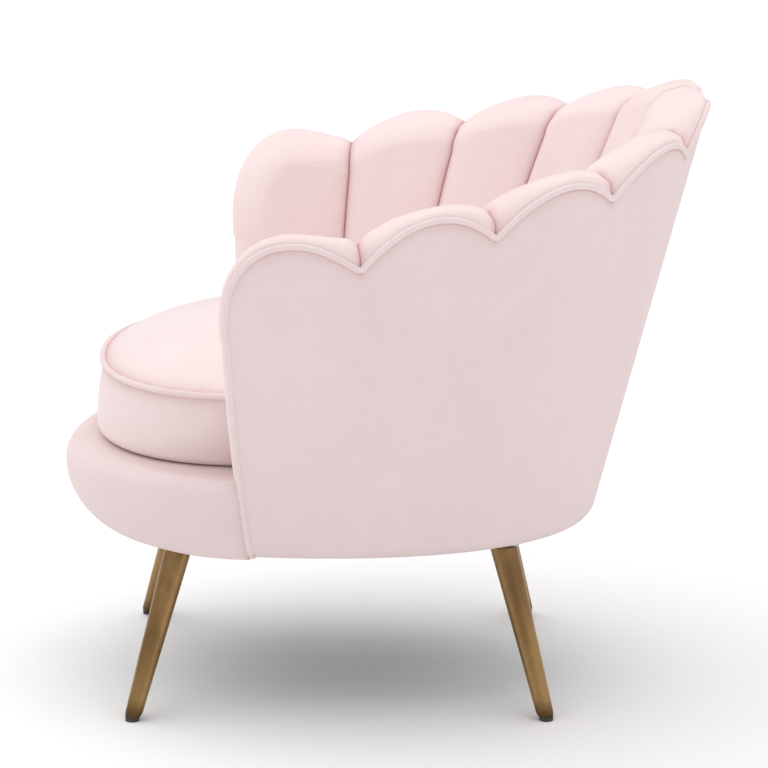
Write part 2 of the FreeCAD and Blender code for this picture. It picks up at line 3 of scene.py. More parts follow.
import bmesh
import bpy
import mathutils
import numpy as np
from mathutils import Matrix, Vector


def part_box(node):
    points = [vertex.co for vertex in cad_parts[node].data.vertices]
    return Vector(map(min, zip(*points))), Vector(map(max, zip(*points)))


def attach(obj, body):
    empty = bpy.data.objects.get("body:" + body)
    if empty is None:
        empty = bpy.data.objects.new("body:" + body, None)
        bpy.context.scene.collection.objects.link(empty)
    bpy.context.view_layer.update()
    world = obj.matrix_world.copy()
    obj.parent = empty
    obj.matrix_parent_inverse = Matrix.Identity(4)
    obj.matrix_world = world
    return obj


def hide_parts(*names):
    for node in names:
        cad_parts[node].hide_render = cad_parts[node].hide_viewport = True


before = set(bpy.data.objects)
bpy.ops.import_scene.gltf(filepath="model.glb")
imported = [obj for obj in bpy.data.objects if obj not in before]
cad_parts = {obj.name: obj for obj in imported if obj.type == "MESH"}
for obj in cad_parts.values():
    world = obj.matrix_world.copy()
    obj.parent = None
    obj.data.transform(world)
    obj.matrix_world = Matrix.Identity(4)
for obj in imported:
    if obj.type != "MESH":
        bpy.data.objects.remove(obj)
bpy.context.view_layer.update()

# ------------------------------------------------------------------ base boards
# Four birch plywood boards make the foot of the shell, with an open well under the seat.
# They are sawn from 18 mm sheet; the veneers show as stripes on every edge.


class Socket:
    """A socket of a finish's nodes. Arithmetic on it adds Math nodes."""

    def __init__(self, finish, link):
        self.finish = finish
        self.link = link

    def math(self, operation, *others):
        settings = {"operation": operation}
        return self.finish.node("ShaderNodeMath", settings, dict(enumerate((self, *others))))

    def __add__(self, other):
        return self.math("ADD", other)

    def __sub__(self, other):
        return self.math("SUBTRACT", other)

    def __mul__(self, other):
        return self.math("MULTIPLY", other)

    __radd__ = __add__
    __rmul__ = __mul__


class Finish:
    """A material built from nodes; node() makes any node from its type, settings and inputs."""

    def __init__(self, name):
        self.material = bpy.data.materials.new(name)
        self.material.use_nodes = True
        self.tree = self.material.node_tree
        self.tree.nodes.clear()

    def node(self, kind, settings=None, inputs=None, output=0):
        made = self.tree.nodes.new(kind)
        for name, value in (settings or {}).items():
            setattr(made, name, value)
        for name, value in (inputs or {}).items():
            if isinstance(value, Socket):
                self.tree.links.new(value.link, made.inputs[name])
            else:
                made.inputs[name].default_value = value
        return Socket(self, made.outputs[output]) if len(made.outputs) else None

    def place(self, stretch=(1, 1, 1)):
        """Object coordinates, stretched so that one pattern cell is 1 / stretch metres."""
        place = self.node("ShaderNodeTexCoord", output="Object")
        return self.node("ShaderNodeMapping", inputs={"Vector": place, "Scale": stretch})

    def axis(self, name, of=None):
        """One axis of a vector, by default of the Object coordinates."""
        return self.node("ShaderNodeSeparateXYZ", inputs={"Vector": of or self.place()}, output=name)

    def wave(self, value, pitch):
        """A sine wave from 0 to 1."""
        return (value * (2 * math.pi / pitch)).math("SINE") * 0.5 + 0.5

    def noise(self, where, scale=1.0, detail=2.0, roughness=0.5):
        return self.node("ShaderNodeTexNoise", inputs={
            "Vector": where, "Scale": scale, "Detail": detail, "Roughness": roughness})

    def step(self, value, low, high, to_low=0.0, to_high=1.0):
        """A soft step of a value between two levels."""
        return self.node("ShaderNodeMapRange", {"interpolation_type": "SMOOTHSTEP"}, {
            "Value": value, "From Min": low, "From Max": high, "To Min": to_low, "To Max": to_high})

    def blend(self, factor, first, second):
        """A colour between two colours."""
        return self.node("ShaderNodeMix", {"data_type": "RGBA"}, {0: factor, 6: first, 7: second}, 2)

    def bump(self, height, depth, strength=1.0):
        """A normal from a height pattern whose full range is that many metres."""
        return self.node("ShaderNodeBump", inputs={
            "Height": height, "Distance": depth, "Strength": strength})

    def surface(self, **inputs):
        """Ends the material in a Principled shader; an underscore in a name stands for a space."""
        sockets = {name.replace("_", " "): value for name, value in inputs.items()}
        shader = self.node("ShaderNodeBsdfPrincipled", inputs=sockets)
        self.node("ShaderNodeOutputMaterial", inputs={"Surface": shader})
        return self.material


def rgb(red, green, blue):
    """A display colour from 0 to 255 as linear light with full cover."""
    display = np.array([red, green, blue]) / 255
    linear = np.where(display <= 0.04045, display / 12.92, ((display + 0.055) / 1.055) ** 2.4)
    return (*linear.tolist(), 1.0)


def dress(node_names, material):
    """Gives CAD nodes their material."""
    for name in node_names:
        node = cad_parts[name]
        node.data.materials.clear()
        node.data.materials.append(material)


BIRCH_LIGHT = rgb(214, 184, 140)
BIRCH_DARK = rgb(176, 136, 92)
GLUE_LINE = rgb(120, 84, 54)
VENEER = 0.0015


def plywood(name):
    """Veneers are stripes of a square wave in height; the grain is noise drawn out along X."""
    birch = Finish(name)
    grain = birch.noise(birch.place((12, 160, 160)), detail=6, roughness=0.6)
    patch = birch.noise(birch.place((3, 3, 3)), detail=2)
    ply = (birch.axis("Z") * (0.5 / VENEER)).math("FRACT")
    cross_ply = birch.step(ply, 0.45, 0.55)
    glue = birch.step((ply - 0.5).math("ABSOLUTE"), 0.0, 0.05, 1.0, 0.0)
    face = birch.blend(grain * 0.7 + patch * 0.4, BIRCH_LIGHT, BIRCH_DARK)
    edge = birch.blend(cross_ply * 0.35 + glue * 0.3, face, GLUE_LINE)
    up = birch.node("ShaderNodeNewGeometry", output="Normal")
    on_face = birch.step(birch.axis("Z", up).math("ABSOLUTE"), 0.6, 0.9)
    colour = birch.blend(on_face, edge, face)
    return birch.surface(Base_Color=colour, Roughness=grain * 0.2 + 0.5,
                         Normal=birch.bump(grain, 0.0004))


SIDES = (("left", 1), ("right", -1))
dress([f"base_board_{place}" for place in ("front", "rear", "left", "right")],
      plywood("board_plywood"))

# ------------------------------------------------------------------ seat rails and corner blocks
# Planed pine rails stand on the boards, with three-cornered glue blocks in their corners.

PINE_LIGHT = rgb(222, 190, 142)
PINE_DARK = rgb(188, 146, 96)


def planed_wood(name, stretch):
    """Growth rings are noise drawn out along the grain; pores are a finer noise."""
    pine = Finish(name)
    rings = pine.noise(pine.place(stretch), scale=1.0, detail=3, roughness=0.45)
    lines = (rings * 14).math("FRACT")
    pores = pine.noise(pine.place(stretch), scale=9.0, detail=4)
    colour = pine.blend(lines * 0.6 + pores * 0.3, PINE_LIGHT, PINE_DARK)
    return pine.surface(Base_Color=colour, Roughness=pores * 0.25 + 0.45,
                        Normal=pine.bump(pores, 0.0004))


ALONG_X = (2.5, 30, 30)
ALONG_Y = (30, 2.5, 30)
dress(["seat_rail_front", "seat_rail_rear", "corner_blocks"], planed_wood("rail_pine", ALONG_X))
dress(["seat_rail_left", "seat_rail_right"], planed_wood("side_rail_pine", ALONG_Y))

# ------------------------------------------------------------------ seat straps
# Elastic webbing, four straps across under three along, stapled to the rails. It is woven
# with ribs across its width and a paler thread near each edge.

WEB_DARK = rgb(52, 48, 44)
WEB_LIGHT = rgb(112, 100, 88)
RIB_PITCH = 0.0022


def webbing(name, along, across):
    """Ribs are a sine along the strap, broken by a finer sine across it."""
    web = Finish(name)
    rib = web.wave(web.axis(along), RIB_PITCH)
    thread = web.wave(web.axis(across), RIB_PITCH / 2)
    weave = rib * 0.7 + thread * 0.3
    wear = web.noise(web.place((20, 20, 20)), detail=3)
    colour = web.blend(weave * 0.6 + wear * 0.3, WEB_DARK, WEB_LIGHT)
    return web.surface(Base_Color=colour, Roughness=0.85, Sheen_Weight=0.2,
                       Normal=web.bump(weave, 0.0006))


dress(["seat_straps_across"], webbing("webbing_across", "X", "Y"))
dress(["seat_straps_along"], webbing("webbing_along", "Y", "X"))

# ------------------------------------------------------------------ back ribs and boards
# Curved plywood ribs stand on the base boards behind each seam of the back, with thin
# bent boards between them for the petals' foam.

dress([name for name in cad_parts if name.startswith(("back_rib_", "back_boards_"))],
      plywood("rib_plywood"))

# ------------------------------------------------------------------ leg plates, studs and screws
# Zinc-plated steel: a round plate under each leg's place, screwed up into the board, with
# a threaded stud that holds the leg.

ZINC_LIGHT = rgb(206, 208, 212)
ZINC_DARK = rgb(150, 152, 158)


def zinc(name, ring_pitch):
    """Spangle is noise; threads or turning marks are a sine in height."""
    steel = Finish(name)
    spangle = steel.noise(steel.place((120, 120, 120)), detail=4)
    turns = steel.wave(steel.axis("Z"), ring_pitch)
    colour = steel.blend(spangle, ZINC_DARK, ZINC_LIGHT)
    return steel.surface(Base_Color=colour, Metallic=1.0, Roughness=spangle * 0.25 + 0.25,
                         Normal=steel.bump(turns, 0.0003, 0.6))


dress(["leg_plates"], zinc("plate_zinc", 0.012))
dress(["leg_studs", "plate_screws"], zinc("thread_zinc", 0.00125))

# ------------------------------------------------------------------ legs and glides
# Four tapered brass tubes splay outwards, brushed along their length and aged to brown in
# patches. Each screws up into the seat and ends in a rounded foot that holds a nylon glide.

LEG_TOP_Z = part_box("leg_plates")[0].z
LEG_TOP_X, LEG_TOP_FRONT_Y, LEG_TOP_REAR_Y = 0.160, -0.262, 0.149
FOOT_X, FOOT_FRONT_Y, FOOT_REAR_Y = 0.237, -0.322, 0.204
FOOT_RADIUS, TOP_RADIUS = 0.011, 0.018
FOOT_ROUNDING = 0.009


def grid_faces(rows, columns, turned=False):
    """Quads between neighbours of a grid; a turned grid joins its last column to its first."""
    i, j = np.meshgrid(np.arange(rows - 1), np.arange(columns if turned else columns - 1),
                       indexing="ij")
    k = (j + 1) % columns
    quads = [i * columns + j, (i + 1) * columns + j, (i + 1) * columns + k, i * columns + k]
    return np.stack(quads, -1).reshape(-1, 4).tolist()


def fan_faces(centre, first, count):
    """Triangles from one point to a ring of points."""
    ring = np.arange(count)
    return np.stack([np.full(count, centre), first + ring, first + (ring + 1) % count], -1).tolist()


def ring_form(name, rings, poles, crease=None):
    """A closed form from rings of points, with a pole before the first and after the last."""
    rows, sides = rings.shape[:2]
    count = rows * sides
    faces = grid_faces(rows, sides, turned=True)
    faces += fan_faces(count, 0, sides) + fan_faces(count + 1, count - sides, sides)
    return new_piece(name, np.concatenate([rings.reshape(-1, 3), poles]), faces, crease)


def new_piece(name, points, faces, crease=None):
    """An object at the origin, smooth, with doubles merged and its faces turned outwards. The crease
    attribute holds painted shade, from 0 on open cloth to 1 in a seam."""
    mesh = bpy.data.meshes.new(name)
    mesh.from_pydata(points.reshape(-1, 3).tolist(), [], faces)
    if crease is not None:
        shade = mesh.attributes.new("crease", "FLOAT", "POINT")
        shade.data.foreach_set("value", crease.astype(np.float32).ravel())
    form = bmesh.new()
    form.from_mesh(mesh)
    bmesh.ops.remove_doubles(form, verts=form.verts, dist=1e-6)
    bmesh.ops.recalc_face_normals(form, faces=form.faces)
    form.to_mesh(mesh)
    form.free()
    mesh.shade_smooth()
    piece = bpy.data.objects.new(name, mesh)
    bpy.context.scene.collection.objects.link(piece)
    return piece


def finish_piece(piece, material, slot, body, *nodes):
    """Material and body of a piece, and the CAD nodes that it stands for. The slot is not used."""
    piece.data.materials.append(material)
    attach(piece, body)
    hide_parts(*nodes)


def turned_leg(name, foot, top):
    """Level circles whose centres go evenly from foot to top; the radius is a straight taper,
    and below the rounding it follows a quarter ellipse down to half the foot."""
    rows, sides = 48, 40
    share = np.linspace(0, 1, rows) ** 1.6
    centre = foot + share[:, None] * (top - foot)
    taper = FOOT_RADIUS + share * (TOP_RADIUS - FOOT_RADIUS)
    rise = np.clip((centre[:, 2] - foot[2]) / FOOT_ROUNDING, 0, 1)
    radius = taper * (0.5 + 0.5 * np.sqrt(1 - (1 - rise) ** 2))
    turn = np.linspace(0, 2 * np.pi, sides, endpoint=False)
    circle = np.stack([np.cos(turn), np.sin(turn), np.zeros(sides)], -1)
    rings = centre[:, None] + radius[:, None, None] * circle
    return ring_form(name, rings, centre[[0, -1]])


brass = Finish("antique_brass")
brushing = brass.noise(brass.place((900, 900, 14)), detail=5, roughness=0.65)
cloud = brass.noise(brass.place((22, 22, 9)), detail=4)
# The brass is painted darker over its lowest three centimetres, towards the foot.
foot_darkening = brass.step(brass.axis("Z"), 0.004, 0.03, 1.0, 0.0)
gold = brass.blend(brushing, rgb(138, 106, 66), rgb(184, 150, 102))
aged = brass.blend(brass.step(cloud + brushing * 0.25, 0.40, 0.90) * 0.6, gold, rgb(84, 58, 36))
brass_colour = brass.blend(foot_darkening * 0.8, aged, rgb(64, 42, 28))
antique_brass = brass.surface(Base_Color=brass_colour, Metallic=1.0,
                              Roughness=brushing * 0.22 + 0.2, Anisotropic=0.5,
                              Normal=brass.bump(brushing, 0.0002, 0.5))
for side, sign in SIDES:
    for place, foot_y, top_y in (("front", FOOT_FRONT_Y, LEG_TOP_FRONT_Y),
                                 ("rear", FOOT_REAR_Y, LEG_TOP_REAR_Y)):
        foot = np.array([sign * FOOT_X, foot_y, 0.002])
        top = np.array([sign * LEG_TOP_X, top_y, LEG_TOP_Z])
        leg = turned_leg(f"brass_leg_{place}_{side}", foot, top)
        finish_piece(leg, antique_brass, "leg_brass", "chair", f"leg_{place}_{side}")

nylon = Finish("glide_nylon")
nylon_grain = nylon.noise(nylon.place((600, 600, 600)), detail=3)
nylon_scuff = nylon.noise(nylon.place((90, 90, 90)), detail=4)
nylon_colour = nylon.blend(nylon_scuff, rgb(38, 35, 33), rgb(74, 69, 64))
dress(["foot_glides"], nylon.surface(Base_Color=nylon_colour, Roughness=nylon_grain * 0.2 + 0.5,
                                     Normal=nylon.bump(nylon_grain, 0.0002)))

# ------------------------------------------------------------------ outer cover
# One velvet panel from wing to wing over a thin wadding, flared like a tub. It is pulled
# smooth from the scalloped rim down, turned under the base boards and stapled there.

PETALS = 5
FOOT_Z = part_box("outer_cover")[0].z
RIM_HALF_WIDTH, RIM_REAR_Y, RIM_WIDEST_Y, RIM_FRONT_DEPTH = 0.405, 0.411, -0.087, 0.466
BASE_HALF_WIDTH, BASE_REAR_Y, BASE_WIDEST_Y, BASE_FRONT_DEPTH = 0.266, 0.274, -0.070, 0.412
SQUARENESS = 2.17
WING_FRONT_Y = -0.202
VALLEY_FRONT_Z, VALLEY_REAR_Z = 0.613, 0.748
RISE_REAR, RISE_FRONT = 0.0320, 0.0440


def oval(angle, half_width, widest_y, rear_y, front_depth):
    """Plan at an angle from the rear centre: a squarish half oval behind the widest line and
    a round one before it."""
    sine, cosine = np.sin(angle), np.cos(angle)
    behind = cosine >= 0
    power = np.where(behind, 2 / SQUARENESS, 1.0)
    x = half_width * np.sign(sine) * np.abs(sine) ** power
    return x, widest_y + np.where(behind, rear_y - widest_y, -front_depth) * np.abs(cosine) ** power


def rim_plan(angle):
    return oval(angle, RIM_HALF_WIDTH, RIM_WIDEST_Y, RIM_REAR_Y, RIM_FRONT_DEPTH)


def base_plan(angle):
    return oval(angle, BASE_HALF_WIDTH, BASE_WIDEST_Y, BASE_REAR_Y, BASE_FRONT_DEPTH)


walk = np.linspace(0, math.acos((WING_FRONT_Y - RIM_WIDEST_Y) / RIM_FRONT_DEPTH), 2000)
walk_x, walk_y = rim_plan(walk)
walk_length = np.concatenate([[0], np.cumsum(np.hypot(np.diff(walk_x), np.diff(walk_y)))])
PETAL_LENGTH = walk_length[-1] / PETALS


def angle_at(station):
    """Angle of a station, which counts petals along the rim from the rear centre; past the
    wing's front edge the angle goes on at the same pace."""
    length = np.abs(station) * PETAL_LENGTH
    pace = (walk[-1] - walk[-50]) / (walk_length[-1] - walk_length[-50])
    beyond = np.maximum(length - walk_length[-1], 0) * pace
    return np.sign(station) * (np.interp(length, walk_length, walk) + beyond)


def valley_z(station):
    """Straight line through the valleys of the rim, falling from the rear to the front."""
    fall = (VALLEY_REAR_Z - VALLEY_FRONT_Z) / (PETALS - 1)
    return VALLEY_REAR_Z - fall * np.abs(station)


def inwards(station):
    """Level unit vector from the rim towards the inside of the tub."""
    step = 0.004
    angle = angle_at(station)
    ahead_x, ahead_y = rim_plan(angle + step)
    behind_x, behind_y = rim_plan(angle - step)
    along = np.stack([ahead_y - behind_y, behind_x - ahead_x], -1)
    return along / np.linalg.norm(along, axis=-1, keepdims=True)


def wall(station, height, depth):
    """Points of the wall: a straight flare from the foot oval through the rim's mean line,
    moved inwards by the depth."""
    station, height, depth = np.broadcast_arrays(station, height, depth)
    low_x, low_y = base_plan(angle_at(station))
    high_x, high_y = rim_plan(angle_at(station))
    rise = (height - FOOT_Z) / (valley_z(station) + RISE_REAR / 2 - FOOT_Z)
    shift = depth[..., None] * inwards(station)
    x = low_x + rise * (high_x - low_x) + shift[..., 0]
    y = low_y + rise * (high_y - low_y) + shift[..., 1]
    return np.stack([x, y, height], -1)


def mirrored(points):
    return points * np.array([-1.0, 1.0, 1.0])


def smooth(value, low, high):
    """0 below low and 1 above high, with a soft step between."""
    share = np.clip((value - low) / (high - low), 0, 1)
    return share * share * (3 - 2 * share)


SCALLOP_POWER = 1.05


def petal_rise(petal):
    """How far a petal's top stands over its valleys; petals are counted from the rear."""
    return RISE_REAR + min(petal, PETALS - 2) / (PETALS - 2) * (RISE_FRONT - RISE_REAR)


def crowded(count):
    """Shares from 0 to 1, closer together at both ends."""
    return (1 - np.cos(np.linspace(0, np.pi, count))) / 2


def scallop(petal, share):
    """Stations and heights of one arch of the rim: a parabola raised to a power."""
    station = petal + share
    return station, valley_z(station) + petal_rise(petal) * (4 * share * (1 - share)) ** SCALLOP_POWER


WING_PEAK, WING_PEAK_Z = 0.0775, 0.646
WING_CORNER_REACH, WING_CORNER_DROP, WING_SQUARENESS = 0.092, 0.126, 2.2
WING_BELLY = 0.004
WING_LOW_Z = 0.222
WING_CORNER_Z = WING_PEAK_Z - WING_CORNER_DROP


def belly(height):
    """How far the wing's front edge swells forwards, in stations: half a sine wave."""
    share = np.clip((WING_CORNER_Z - height) / (WING_CORNER_Z - WING_LOW_Z), 0, 1)
    return WING_BELLY / PETAL_LENGTH * np.sin(np.pi * share)


def wing_top(count):
    """The wing's arch: a sine rise to its peak, then a superellipse down to the front edge."""
    share = np.linspace(0, 1, count // 3) ** 1.3
    rising = WING_PEAK_Z - VALLEY_FRONT_Z
    turn = np.linspace(0, np.pi / 2, count - len(share) + 1)[1:]
    along = np.concatenate([
        WING_PEAK * share,
        WING_PEAK + WING_CORNER_REACH * np.sin(turn) ** (2 / WING_SQUARENESS)])
    height = np.concatenate([
        VALLEY_FRONT_Z + rising * np.sin(share * np.pi / 2) ** SCALLOP_POWER,
        WING_CORNER_Z + WING_CORNER_DROP * np.abs(np.cos(turn)) ** (2 / WING_SQUARENESS)])
    return PETALS - 1 + along / PETAL_LENGTH, height


def padded_sheet(name, front, back, crease):
    """A closed form between two grids of points, joined round their four borders."""
    rows, columns = front.shape[:2]
    count = rows * columns
    index = np.arange(count).reshape(rows, columns)
    border = np.concatenate([index[0, :-1], index[:-1, -1], index[-1, :0:-1], index[:0:-1, 0]])
    following = np.roll(border, -1)
    edge = np.stack([border, following, following + count, border + count], -1).tolist()
    front_faces = grid_faces(rows, columns)
    back_faces = (np.array(front_faces)[:, ::-1] + count).tolist()
    points = np.concatenate([front.reshape(-1, 3), back.reshape(-1, 3)])
    # The hidden back grid is painted in full crease shade.
    shade = np.concatenate([crease.ravel(), np.ones(count)])
    return new_piece(name, points, front_faces + back_faces + edge, shade)


NAP_DEPTH = 0.16
# Painted shade in seams and folds: its strength and the darker pink it blends to.
CREASE_SHADE_STRENGTH = 0.85
CREASE_SHADE_COLOUR = rgb(206, 160, 156)


def velvet(name, light, deep, pile_scale=1.0):
    """Short pile: broad clouds where the nap leans, small marks of handling and single fibres. Seams and
    folds, told by the crease attribute, get painted shade: a darker pink."""
    cloth = Finish(name)
    clouds = cloth.noise(cloth.place((7, 7, 5)), detail=3, roughness=0.5)
    marks = cloth.noise(cloth.place((38, 38, 26)), detail=4, roughness=0.6)
    fibres = cloth.noise(cloth.place((1400, 1400, 1400)), scale=pile_scale, detail=2)
    rows = cloth.noise(cloth.place((420, 420, 150)), scale=pile_scale, detail=3)
    crease = cloth.node("ShaderNodeAttribute", {"attribute_name": "crease"}, output="Fac")
    nap = cloth.step(clouds * 0.55 + marks * 0.3 + rows * 0.15, 0.30, 0.70)
    open_cloth = cloth.blend(nap * NAP_DEPTH + fibres * 0.14, light, deep)
    # Painted shade: the crease attribute darkens the colour in seams and folds.
    colour = cloth.blend(crease * CREASE_SHADE_STRENGTH, open_cloth, CREASE_SHADE_COLOUR)
    pile = fibres * 0.5 + rows * 0.5
    return cloth.surface(Base_Color=colour, Roughness=nap * 0.12 + 0.8, Specular_IOR_Level=0.25,
                         Sheen_Weight=0.55, Sheen_Roughness=0.42,
                         Sheen_Tint=rgb(255, 238, 238), Normal=cloth.bump(pile, 0.0009, 0.55))


COVER_THICKNESS = 0.003
HEM_Z = FOOT_Z - 0.0015
HEM_RADIUS = 0.018
HEM_DEPTH = 0.036
PIPING_DIP_AND_SHADE_REACH, PIPING_DIP = 0.006, 0.0016


def cover_profile(rim_z, thickness):
    """Heights and depths from the hem under the boards, round a quarter circle and up the
    wall to the rim."""
    under = np.linspace(HEM_DEPTH, HEM_RADIUS, 5)[:-1]
    turn = np.linspace(0, np.pi / 2, 10)
    up = np.linspace(0, 1, 56)[1:] ** 0.9
    radius = HEM_RADIUS - thickness
    centre_z = HEM_Z + HEM_RADIUS
    height = np.concatenate([
        np.full((len(under), len(rim_z)), HEM_Z + thickness),
        np.broadcast_to((centre_z - radius * np.cos(turn))[:, None], (len(turn), len(rim_z))),
        centre_z + up[:, None] * (rim_z - thickness - centre_z)])
    depth = np.concatenate([under, HEM_RADIUS - radius * np.sin(turn), np.full(len(up), thickness)])
    return height, np.broadcast_to(depth[:, None], height.shape)


half_station, half_z = [], []
for petal in range(PETALS - 1):
    arch_station, arch_z = scallop(petal, crowded(30)[:-1])
    half_station.append(arch_station)
    half_z.append(arch_z)
wing_station, wing_z = wing_top(44)
half_station = np.concatenate([*half_station, wing_station])
half_z = np.concatenate([*half_z, wing_z])
cover_station = np.concatenate([-half_station[:0:-1], half_station])
cover_rim_z = np.concatenate([half_z[:0:-1], half_z])


def cover_face(thickness):
    """Points of the cover's face at a thickness behind the outer one, and its painted shade under the
    piping; the face dips where the piping is sewn in, and the same falloff paints the shade there."""
    height, depth = cover_profile(cover_rim_z, thickness)
    near_front = smooth(np.abs(cover_station), PETALS - 0.6, PETALS)
    station = cover_station + np.sign(cover_station) * near_front * belly(height)
    # One falloff below the piping both dips the cloth and marks painted shade.
    crease = np.exp((height - cover_rim_z) / PIPING_DIP_AND_SHADE_REACH)
    return wall(station, height, depth + PIPING_DIP * crease), crease


outer_face, outer_piping_shade = cover_face(0.0)
cover = padded_sheet("tub_cover", outer_face, cover_face(COVER_THICKNESS)[0], outer_piping_shade)
shell_velvet = velvet("shell_velvet", rgb(234, 217, 217), rgb(205, 172, 173))
finish_piece(cover, shell_velvet, "shell_velvet", "chair", "outer_cover")

# ------------------------------------------------------------------ petals
# Ten channelled petals line the tub, five to a side. Each is one padded velvet channel that
# starts at the piping, rolls over the rim and runs down to the seat; a seam parts it from
# the next, and the cloth puckers where the seams cross the roll.

SEAM_LOW_FRONT, SEAM_LOW_REAR, SEAM_HIGH = 0.051, 0.129, 0.060
FAN_SHIFT = 0.050
RIDGE_LEAN = 0.010
PETAL_BULGE = 0.017
PETAL_FOOT_Z = 0.303
ROLL_OVER_VALLEY, ROLL_OVER_PEAK, ROLL_INNER_DROP = 0.028, 0.008, 0.035
PETAL_BACK, ROLL_BACK = 0.0225, 0.0037
BACK_START_DROP, BACK_ROLL_DROP = 0.003, 0.0435
BACK_TOP_DROP = BACK_START_DROP + BACK_ROLL_DROP
SEAM_GAP, SEAM_SHADE_REACH = 0.0003, 0.004
PLEAT_HEIGHT, PLEAT_REACH = 0.0013, 0.018


def seam_depth(height, station):
    """Depth of the seams between petals; the padding thickens downwards, most at the rear."""
    share = np.minimum(np.abs(station) / PETALS, 1)
    low = SEAM_LOW_FRONT + (SEAM_LOW_REAR - SEAM_LOW_FRONT) * (1 - share ** 2.2)
    rise = (height - FOOT_Z) / (VALLEY_REAR_Z - FOOT_Z)
    return low + rise * (SEAM_HIGH - low)


def fanned(station, rim, height):
    """Station of a seam below the rim: it leans to the front, most in its upper part."""
    share = np.minimum(station / PETALS, 1)
    below = np.clip((rim - height) / (rim - PETAL_FOOT_Z), 0, 1)
    shift = FAN_SHIFT * np.sin(np.pi * share ** 0.8) / PETAL_LENGTH
    return station + shift * (1 - (1 - below) ** 1.7)


def petal_crown(share):
    """0 at the seams, steep beside them and nearly flat across the petal."""
    return (1 - np.abs(2 * share - 1) ** 3.2) ** 0.62


def pleats(seam_distance, turn):
    """Small folds over the roll beside a seam, dying away along the petal."""
    return PLEAT_HEIGHT * np.exp(-seam_distance / PLEAT_REACH) * np.cos(9 * turn)


def roll_shape(turn, rim, ridge, inner):
    """Share of the depth and height over a roll: half an ellipse between its two sides."""
    across = (1 - np.cos(turn)) / 2
    lift = ridge - (rim + inner) / 2
    return across, rim * (1 - across) + inner * across + lift * np.sin(turn)


def back_petal(petal):
    """Front and back grids of a petal between two seams."""
    share = SEAM_GAP / PETAL_LENGTH + crowded(64) * (1 - 2 * SEAM_GAP / PETAL_LENGTH)
    station, rim = scallop(petal, share)
    crown = petal_crown(share)
    seam_distance = np.minimum(share, 1 - share) * PETAL_LENGTH
    ridge_gain = petal_rise(petal) + ROLL_OVER_PEAK - ROLL_OVER_VALLEY
    puff = (1 - np.abs(2 * share - 1) ** 2.4) ** 0.85
    ridge = valley_z(station) + ROLL_OVER_VALLEY + ridge_gain * puff
    inner = ridge - ROLL_INNER_DROP
    turn = np.linspace(0, np.pi, 30)[:, None]
    across, roll_z = roll_shape(turn, rim - 0.001, ridge, inner)
    fold = pleats(seam_distance, turn) * np.sin(turn)
    lean = RIDGE_LEAN / PETAL_LENGTH * np.sin(np.pi * (station / PETALS) ** 0.8)
    leaning = station + lean * across
    full_depth = seam_depth(inner, station) + PETAL_BULGE * crown
    roll_depth = ROLL_BACK + (full_depth - ROLL_BACK) * across - fold * np.cos(turn)
    roll = wall(leaning, roll_z + fold * np.sin(turn), roll_depth)
    down = np.linspace(0, 1, 52)[1:, None]
    panel_z = inner + (PETAL_FOOT_Z - inner) * down
    panel_station = fanned(station, inner, panel_z) + lean * (1 - down)
    panel = wall(panel_station, panel_z, seam_depth(panel_z, panel_station) + PETAL_BULGE * crown)
    front = np.concatenate([roll, panel])
    back_share = np.linspace(0, 1, len(turn))[:, None]
    back_depth = ROLL_BACK + (PETAL_BACK - ROLL_BACK) * smooth(back_share, 0.55, 0.9)
    back_roll = wall(station, rim - BACK_START_DROP - BACK_ROLL_DROP * back_share, back_depth)
    back_top = rim - BACK_TOP_DROP
    back_z = back_top + (PETAL_FOOT_Z - back_top) * down
    back_station = fanned(station, back_top, back_z)
    back = np.concatenate([back_roll, wall(back_station, back_z, PETAL_BACK)])
    # Painted shade darkens the cloth beside each seam.
    crease = np.broadcast_to(np.exp(-seam_distance / SEAM_SHADE_REACH), front.shape[:2])
    return front, back, crease


WING_ROLL_OVER, WING_ROLL_DROP = 0.008, 0.027
WING_BACK_START, WING_BACK_SIDE, WING_BACK_TOP = 0.002, 0.0105, 0.034
VALLEY_ROLL_DROP = 0.007
LAST_SEAM = PETALS - 1
SEAM_TOP_Z = VALLEY_FRONT_Z - VALLEY_ROLL_DROP
SEAM_LEAN = RIDGE_LEAN / PETAL_LENGTH * math.sin(math.pi * (LAST_SEAM / PETALS) ** 0.8)


def wing_station(along, seam_shift):
    """Station of a length along the wing; the seam's own shift dies away to the front edge."""
    share = along / PETAL_LENGTH
    return LAST_SEAM + share + seam_shift * (1 - np.clip(share, 0, 1))


def wing_seam_shift(height):
    """How far the wing's rear seam has leaned to the front at a height, in stations."""
    below = np.clip((SEAM_TOP_Z - height) / (SEAM_TOP_Z - PETAL_FOOT_Z), 0, 1)
    return fanned(LAST_SEAM, SEAM_TOP_Z, height) - LAST_SEAM + SEAM_LEAN * (1 - below)


